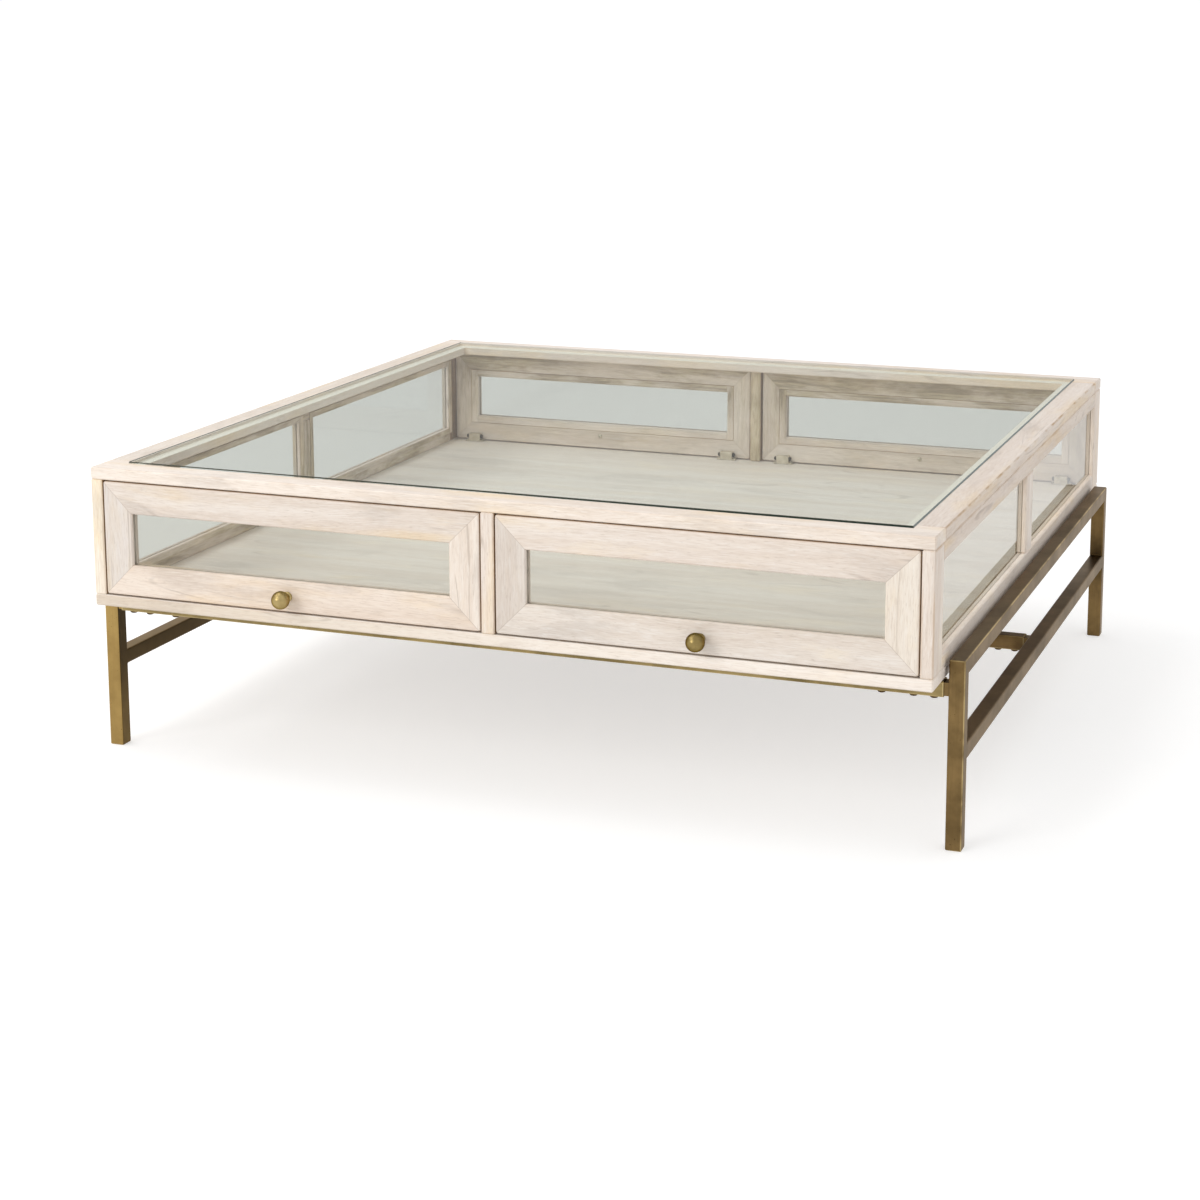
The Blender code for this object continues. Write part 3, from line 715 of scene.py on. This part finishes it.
def dress_glass(frame):
    """The lid, whose green shows along its edge, and the thin panes."""
    lid = glass_material("lid_glass", LID_TINT, LID_MIRROR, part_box("top_glass"))
    assign(frame["nodes"]["top_glass"], lid)
    door_pane = glass_material("door_pane_glass", PANE_TINT, PANE_MIRROR)
    side_pane = glass_material("side_pane_glass", PANE_TINT, PANE_MIRROR, bends=True)
    for node, item in frame["nodes"].items():
        if node.endswith("_door_pane"):
            assign(item, door_pane)
        if node.endswith("_side_pane"):
            assign(item, side_pane)


def metal_shader(nodes, color, roughness, more=None):
    """A metal of some colour and roughness; `more` holds further sockets."""
    named = {"Base Color": color, "Metallic": 1.0, "Roughness": roughness}
    return nodes.add("ShaderNodeBsdfPrincipled", named | (more or {}))


def shaded_faces(nodes, place, color, right_face_shade):
    """Painted shade on the faces that are turned to the right or up, less of it near the feet."""
    turned = nodes.split(nodes.add("ShaderNodeNewGeometry", output="Normal"))
    to_right = nodes.ramp(turned[0], 0.3, 0.9, 0.0, right_face_shade)
    above_feet = nodes.ramp(nodes.split(place)[2], 0.02, 0.15, 0.72, 1.0)
    color = nodes.mix(nodes.math("MULTIPLY", to_right, above_feet), color, linear(44, 34, 20))
    upward = nodes.ramp(turned[2], 0.3, 0.9, 0.0, UPPER_FACE_SHADE)
    return nodes.mix(upward, color, linear(46, 34, 22))


def worn_glinting_arrises(nodes, place, box, cloud, color):
    """Arrises of a bar that wear has polished, more where the patina is thin; their pale colour is also a
    painted highlight along the rounded edges.
    """
    near = nodes.ramp(distance_to_arris(nodes, depths(nodes, place, *box)), *WORN_GLINT_ARRIS)
    worn = nodes.math("MULTIPLY", near, nodes.ramp(cloud, 0.60, 0.40, 0.20, 0.65))
    return nodes.mix(worn, color, linear(206, 184, 134))


def brass_material(name, bright, dark, axis=None, right_face_shade=0.0, box=None):
    """Aged brass, a mottled patina with faint rubbing and specks.

    A bar has an axis and a box, and gets painted shade on its faces to the right and up, and worn arrises
    with a painted highlight; a small fitting has neither.
    """
    material, nodes = new_material(f"brass_{name}")
    place = nodes.place()
    cloud = nodes.noise(place, 14.0, detail=4.0, roughness=0.65)
    stretched = nodes.vector("MULTIPLY", place, BRASS_STRETCH[axis])
    rub = nodes.noise(stretched, 6.0, detail=3.0, roughness=0.6)
    specks = nodes.noise(place, 420.0, detail=1.0)
    color = nodes.mix(nodes.ramp(cloud, 0.30, 0.72), linear(*bright), linear(*dark))
    color = nodes.mix(nodes.ramp(rub, 0.45, 0.75, 0.0, 0.35), color, linear(*dark))
    color = nodes.mix(nodes.ramp(specks, 0.72, 0.80, 0.0, 0.6), color, linear(58, 46, 30))
    if box:
        # Painted shade on the faces turned to the right and up
        color = shaded_faces(nodes, place, color, right_face_shade)
        # Worn arrises, lightened also as a painted highlight
        color = worn_glinting_arrises(nodes, place, box, cloud, color)
    least = BAR_ROUGHNESS if box else FITTING_ROUGHNESS
    roughness = nodes.math("ADD", least, nodes.math("MULTIPLY", cloud, 0.18))
    height = nodes.math("ADD", nodes.math("MULTIPLY", rub, 0.5), nodes.math("MULTIPLY", specks, 0.3))
    normal = nodes.add("ShaderNodeBump", {"Strength": 0.12, "Distance": 0.0003, "Height": height})
    rim = BAR_RIM_TINT if box else FITTING_RIM_TINT
    finish_material(nodes, metal_shader(nodes, color, roughness, {"Normal": normal, "Specular Tint": rim}))
    return material


def plain_metal(name, bright, dark, scale, detail, least_roughness):
    """A plain metal with a faint cloud in its colour and its gloss."""
    material, nodes = new_material(name)
    cloud = nodes.noise(nodes.place(), scale, detail=detail)
    color = nodes.mix(nodes.ramp(cloud, 0.3, 0.7), linear(*bright), linear(*dark))
    roughness = nodes.math("ADD", least_roughness, nodes.math("MULTIPLY", cloud, 0.2))
    finish_material(nodes, metal_shader(nodes, color, roughness))
    return material


def dress_metal(frame):
    """Brass on the base, knobs and pins, and nickel on the catches; returns the metals by name."""
    metals = {name: brass_material(name, *patina) for name, patina in FITTINGS.items()}
    for node, (axis, bright, dark, right_face_shade) in BARS.items():
        metals[node] = brass_material(node, bright, dark, axis, right_face_shade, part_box(node))
        assign(frame["nodes"][node], metals[node])
    metals["nickel"] = plain_metal("satin_nickel", (232, 226, 210), (204, 196, 178), scale=120.0,
                                   detail=3.0, least_roughness=0.25)
    # The spring caps' metal is dark as painted shade where they sit beside the catches
    metals["shade_dark_steel"] = plain_metal("shade_dark_steel", (96, 90, 78), (62, 58, 50), scale=300.0,
                                       detail=2.0, least_roughness=0.35)
    for node, item in frame["nodes"].items():
        if node.endswith(("_knob", "_hinge_pin")):
            # Knobs and pins on the left get the copy painted with light, those on the right the copy
            # painted with shade
            assign(item, metals["right_fittings" if "_right_" in node else "lit_left_fittings"])
        if node.endswith("_catch"):
            assign(item, metals["nickel"])
    return metals


def add_piece(name, shape, material, body, smooth_degrees=None):
    """A new piece from a bmesh, dressed, and riding on one of the table's bodies."""
    bmesh.ops.recalc_face_normals(shape, faces=shape.faces)
    mesh = bpy.data.meshes.new(name)
    shape.to_mesh(mesh)
    shape.free()
    if smooth_degrees:
        mesh.shade_smooth()
        mesh.set_sharp_from_angle(angle=math.radians(smooth_degrees))
    piece = bpy.data.objects.new(name, mesh)
    bpy.context.scene.collection.objects.link(piece)
    mesh.materials.append(material)
    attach(piece, body)


def skin_rings(shape, rings):
    """Quads between neighbouring rings of points, with a face over the first and the last."""
    loops = [[shape.verts.new(point) for point in ring] for ring in rings]
    for ring, following in zip(loops, loops[1:]):
        for index, vert in enumerate(ring):
            other = (index + 1) % len(ring)
            shape.faces.new([vert, ring[other], following[other], following[index]])
    shape.faces.new(loops[0])
    shape.faces.new(loops[-1])


def circle(angle):
    """How far a circle reaches at an angle, as a share of its radius."""
    return 1.0


def hexagon(angle):
    """How far a hexagon reaches at an angle, as a share of half its width across the flats."""
    sector = math.radians(60)
    return 1 / math.cos(angle % sector - sector / 2)


def cross(angle):
    """How far a cross reaches at an angle, as a share of its arms' length."""
    narrow = min(abs(math.cos(angle)), abs(math.sin(angle)))
    return min(1.0, CROSS_ARM / max(narrow, CROSS_ARM))


def head_shape(radius, height, recess, recess_share, place, facing):
    """A domed screw or bolt head with a recess; it sits at a place and faces a direction."""
    profile = [(radius * reach, height * level, circle) for reach, level in DOME]
    profile.append((radius * recess_share, height, recess))
    profile.append((radius * recess_share * RECESS_TAPER, height * RECESS_FLOOR, recess))
    turn = Vector(facing).to_track_quat("Z", "Y").to_matrix()
    rings = []
    for reach, level, outline in profile:
        ring = []
        for step in range(HEAD_STEPS):
            angle = math.radians(360) * step / HEAD_STEPS
            far = reach * outline(angle)
            point = Vector((far * math.cos(angle), far * math.sin(angle), level))
            ring.append(turn @ point + Vector(place))
        rings.append(ring)
    shape = bmesh.new()
    skin_rings(shape, rings)
    return shape


def add_bolts(material):
    """Domed bolts under the ends of the crossbars and of the stretcher."""
    rows = {"front_crossbar": CROSSBAR_BOLTS, "back_crossbar": CROSSBAR_BOLTS,
            "center_stretcher": STRETCHER_BOLTS}
    for bar, offsets in rows.items():
        low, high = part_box(bar)
        y = (low[1] + high[1]) / 2
        for side, sign in SIDES.items():
            for number, offset in enumerate(offsets, 1):
                place = (sign * offset, y, low[2] - SEAT)
                shape = head_shape(BOLT_RADIUS, BOLT_HEIGHT, hexagon, BOLT_RECESS, place, (0, 0, -1))
                add_piece(f"{bar}_{side}_bolt_{number}", shape, material, "table",
                          HEAD_SMOOTH)


def add_knob_screws(material):
    """The screw that holds each knob, seen inside its door."""
    for end, direction in ENDS.items():
        for side in SIDES:
            door = f"{end}_{side}_door"
            frame_low, frame_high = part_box(f"{door}_frame")
            knob_low, knob_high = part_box(f"{door}_knob")
            inner_y = frame_high[1] if direction < 0 else frame_low[1]
            place = ((knob_low[0] + knob_high[0]) / 2, inner_y - direction * SEAT,
                     (knob_low[2] + knob_high[2]) / 2)
            shape = head_shape(KNOB_SCREW_RADIUS, KNOB_SCREW_HEIGHT, cross, KNOB_SCREW_RECESS, place,
                               (0, -direction, 0))
            add_piece(f"{door}_knob_screw", shape, material, door, HEAD_SMOOTH)


def add_catch_details(frame, nickel, steel):
    """On each catch, a screw in each ear and a spring cap on each side."""
    for node in sorted(name for name in frame["nodes"] if name.endswith("_catch")):
        low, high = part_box(node)
        x = (low[0] + high[0]) / 2
        y = (low[1] + high[1]) / 2
        front_y = low[1] + CATCH_CAP_RADIUS if y > 0 else high[1] - CATCH_CAP_RADIUS
        for side, sign in SIDES.items():
            screw = (x + sign * CATCH_SCREW_OFFSET, y, low[2] + CATCH_EAR_TOP + SEAT)
            shape = head_shape(CATCH_SCREW_RADIUS, CATCH_SCREW_HEIGHT, cross, CATCH_SCREW_RECESS, screw,
                               (0, 0, 1))
            add_piece(f"{node}_{side}_screw", shape, nickel, "table", HEAD_SMOOTH)
            # Spring caps, whose dark metal is painted shade
            cap = (x + sign * (CATCH_BODY_HALF + SEAT), front_y, low[2] + CATCH_CAP_HEIGHT)
            shape = head_shape(CATCH_CAP_RADIUS, CATCH_CAP_LENGTH, hexagon, CATCH_CAP_RECESS, cap,
                               (sign, 0, 0))
            add_piece(f"{node}_{side}_spring_cap", shape, steel, "table", HEAD_SMOOTH)


def weld_shape(x0, x1, corner_y, corner_z, away):
    """A rippled fillet along X in the corner under a rail; `away` points from the leg along Y."""
    shape = bmesh.new()
    rings = []
    for step in range(WELD_STEPS + 1):
        share = step / WELD_STEPS
        size = WELD_SIZE * (1 + WELD_RIPPLE * math.sin(share * math.radians(360) * WELD_RIPPLES))
        x = x0 + (x1 - x0) * share
        ring = [(x, corner_y, corner_z)]
        for degrees in range(0, 91, WELD_TURN):
            angle = math.radians(degrees)
            ring.append((x, corner_y + away * size * (1 - math.sin(angle)),
                         corner_z - size * (1 - math.cos(angle))))
        rings.append(ring)
    skin_rings(shape, rings)
    return shape


def bar_of_side_frame(side, low, high, bar):
    """The X places of a side frame's bars, inside the eased corners."""
    if side == "left":
        return low[0] + BAR_EASE, low[0] + bar - BAR_EASE
    return high[0] - bar + BAR_EASE, high[0] - BAR_EASE


def add_welds(material):
    """Fillet welds under each mid rail, where it meets the legs."""
    stretcher_low, stretcher_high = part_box("center_stretcher")
    crossbar_low, crossbar_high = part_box("back_crossbar")
    for side in SIDES:
        low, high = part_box(f"{side}_side_frame")
        x0, x1 = bar_of_side_frame(side, low, high, stretcher_high[2] - stretcher_low[2])
        for end, direction in ENDS.items():
            corner_y = direction * (crossbar_low[1] - SEAT)
            shape = weld_shape(x0, x1, corner_y, stretcher_low[2] - SEAT, -direction)
            add_piece(f"{side}_{end}_weld", shape, material, "table", WELD_SMOOTH)


def bead_strip(low, high):
    """A thin strip with its edges eased."""
    shape = bmesh.new()
    bmesh.ops.create_cube(shape, size=1.0)
    bmesh.ops.scale(shape, vec=[b - a for a, b in zip(low, high)], verts=shape.verts)
    bmesh.ops.translate(shape, vec=[(a + b) / 2 for a, b in zip(low, high)], verts=shape.verts)
    bmesh.ops.bevel(shape, geom=shape.edges[:], offset=SIDE_BEAD_EASE, segments=2, profile=0.5,
                    affect="EDGES")
    return shape


def side_bead_material(group, axis):
    """Bare wood for the strips round the side panes."""
    material, nodes = new_material(f"wood_side_bead_{axis}")
    grain = grain_vector(nodes, nodes.place(), axis, SIDE_BEAD_SEED)
    color, roughness, height = grain_sample(nodes, group, grain, SIDE_BEAD_WARMTH, 1.0)
    finish_material(nodes, wood_shader(nodes, color, roughness, height))
    return material


def add_side_beads(group):
    """Thin beads round the side panes, on the inner face of the walls; the uprights run through."""
    materials = {axis: side_bead_material(group, axis) for axis in ("Y", "Z")}
    wide = SIDE_BEAD_WIDTH
    for side, sign in SIDES.items():
        for end in ENDS:
            pane_low, pane_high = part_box(f"{end}_{side}_side_pane")
            inner_face = min(abs(pane_low[0]), abs(pane_high[0])) - LIP_BEHIND_PANE
            x0, x1 = sorted((sign * (inner_face - SEAT), sign * (inner_face - SEAT - SIDE_BEAD_PROUD)))
            y0, y1 = pane_low[1] + PANE_IN_GROOVE, pane_high[1] - PANE_IN_GROOVE
            z0, z1 = pane_low[2] + PANE_IN_GROOVE, pane_high[2] - PANE_IN_GROOVE
            strips = {
                "front": ("Z", (y0 - wide, y0), (z0 - wide, z1 + wide)),
                "back": ("Z", (y1, y1 + wide), (z0 - wide, z1 + wide)),
                "lower": ("Y", (y0 + SEAT, y1 - SEAT), (z0 - wide, z0)),
                "upper": ("Y", (y0 + SEAT, y1 - SEAT), (z1, z1 + wide)),
            }
            for place, (axis, y_span, z_span) in strips.items():
                shape = bead_strip((x0, y_span[0], z_span[0]), (x1, y_span[1], z_span[1]))
                add_piece(f"{end}_{side}_{place}_side_bead", shape, materials[axis], "table")


def add_small_pieces(frame, group, metals):
    """What is too small for nodes of its own: beads, bolts, screws, caps and welds."""
    add_side_beads(group)
    add_bolts(metals["bolts"])
    add_knob_screws(metals["nickel"])
    add_catch_details(frame, metals["nickel"], metals["shade_dark_steel"])
    add_welds(metals["left_side_frame"])


def seen_rays(nodes):
    """One for rays that show the background: the camera's, and those from mirrors and through glass."""
    path = nodes.tree.nodes.new("ShaderNodeLightPath")
    mirrored = nodes.math("MAXIMUM", path.outputs["Is Glossy Ray"], path.outputs["Is Transmission Ray"])
    return nodes.math("MAXIMUM", path.outputs["Is Camera Ray"], mirrored)


def add_floor():
    """A pale floor that glows a little to the eye, so that shadows stay light."""
    mesh = bpy.data.meshes.new("floor")
    half = FLOOR_HALF
    corners = [(-half, -half, 0), (half, -half, 0), (half, half, 0), (-half, half, 0)]
    mesh.from_pydata(corners, [], [(0, 1, 2, 3)])
    floor = bpy.data.objects.new("floor", mesh)
    bpy.context.scene.collection.objects.link(floor)
    material, nodes = new_material("floor_paper")
    glow = nodes.add("ShaderNodeEmission", {"Color": (1, 1, 1), "Strength": FLOOR_GLOW})
    seen = nodes.add("ShaderNodeBsdfDiffuse", {"Color": (FLOOR_SEEN_ALBEDO,) * 3})
    seen = nodes.add("ShaderNodeAddShader", {0: glow, 1: seen})
    paper = nodes.add("ShaderNodeBsdfDiffuse", {"Color": (FLOOR_ALBEDO,) * 3})
    finish_material(nodes, nodes.mix_shaders(seen_rays(nodes), paper, seen))
    assign(floor, material)


def add_sky():
    """White to the eye, in mirrors and through glass; a plainer level lights the table."""
    world = bpy.data.worlds.new("studio")
    world.use_nodes = True
    world.node_tree.nodes.clear()
    nodes = Nodes(world.node_tree)
    color = nodes.mix(seen_rays(nodes), (SKY_STRENGTH,) * 3, SEEN_SKY)
    background = nodes.add("ShaderNodeBackground", {"Color": color, "Strength": 1.0})
    output = world.node_tree.nodes.new("ShaderNodeOutputWorld")
    nodes.feed(output.inputs["Surface"], background)
    bpy.context.scene.world = world


def add_lamp(name, place, size, power):
    """A soft rectangular lamp that faces the table."""
    light = bpy.data.lights.new(name, "AREA")
    light.shape = "RECTANGLE"
    light.size, light.size_y = size
    light.energy = power
    lamp = bpy.data.objects.new(name, light)
    bpy.context.scene.collection.objects.link(lamp)
    lamp.location = place
    aim = Vector(LAMP_TARGET) - Vector(place)
    lamp.rotation_euler = aim.to_track_quat("-Z", "Y").to_euler()


def add_lights():
    """The sky and the lamps."""
    add_sky()
    for name, (place, size, power) in LAMPS.items():
        add_lamp(name, place, size, power)


def add_camera():
    """The camera that was solved from the photograph."""
    facing_back = Matrix(((1, 0, 0), (0, 0, -1), (0, 1, 0)))
    turn = (Matrix.Rotation(CAMERA_ROLL, 3, "Z") @ Matrix.Rotation(CAMERA_PITCH, 3, "X") @ facing_back
            @ Matrix.Rotation(CAMERA_YAW, 3, "Z"))
    # A picture's axes are right, down and ahead, and a Blender camera's are right, up and back
    flip = Matrix(((1, 0, 0), (0, -1, 0), (0, 0, -1)))
    lens = bpy.data.cameras.new("photo_camera")
    lens.sensor_width = SENSOR
    lens.lens = FOCAL_PIXELS / PHOTO_PIXELS * SENSOR
    lens.shift_x = 0.5 - CENTER_PIXELS[0] / PHOTO_PIXELS
    lens.shift_y = CENTER_PIXELS[1] / PHOTO_PIXELS - 0.5
    camera = bpy.data.objects.new("photo_camera", lens)
    bpy.context.scene.collection.objects.link(camera)
    camera.matrix_world = Matrix.Translation(CAMERA_PLACE) @ (turn.transposed() @ flip).to_4x4()
    bpy.context.scene.camera = camera


def main():
    """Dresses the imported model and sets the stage."""
    bpy.context.scene.view_settings.view_transform = "Standard"
    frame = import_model()
    add_camera()
    group = dress_wood(frame)
    dress_glass(frame)
    metals = dress_metal(frame)
    add_small_pieces(frame, group, metals)
    add_floor()
    add_lights()


main()
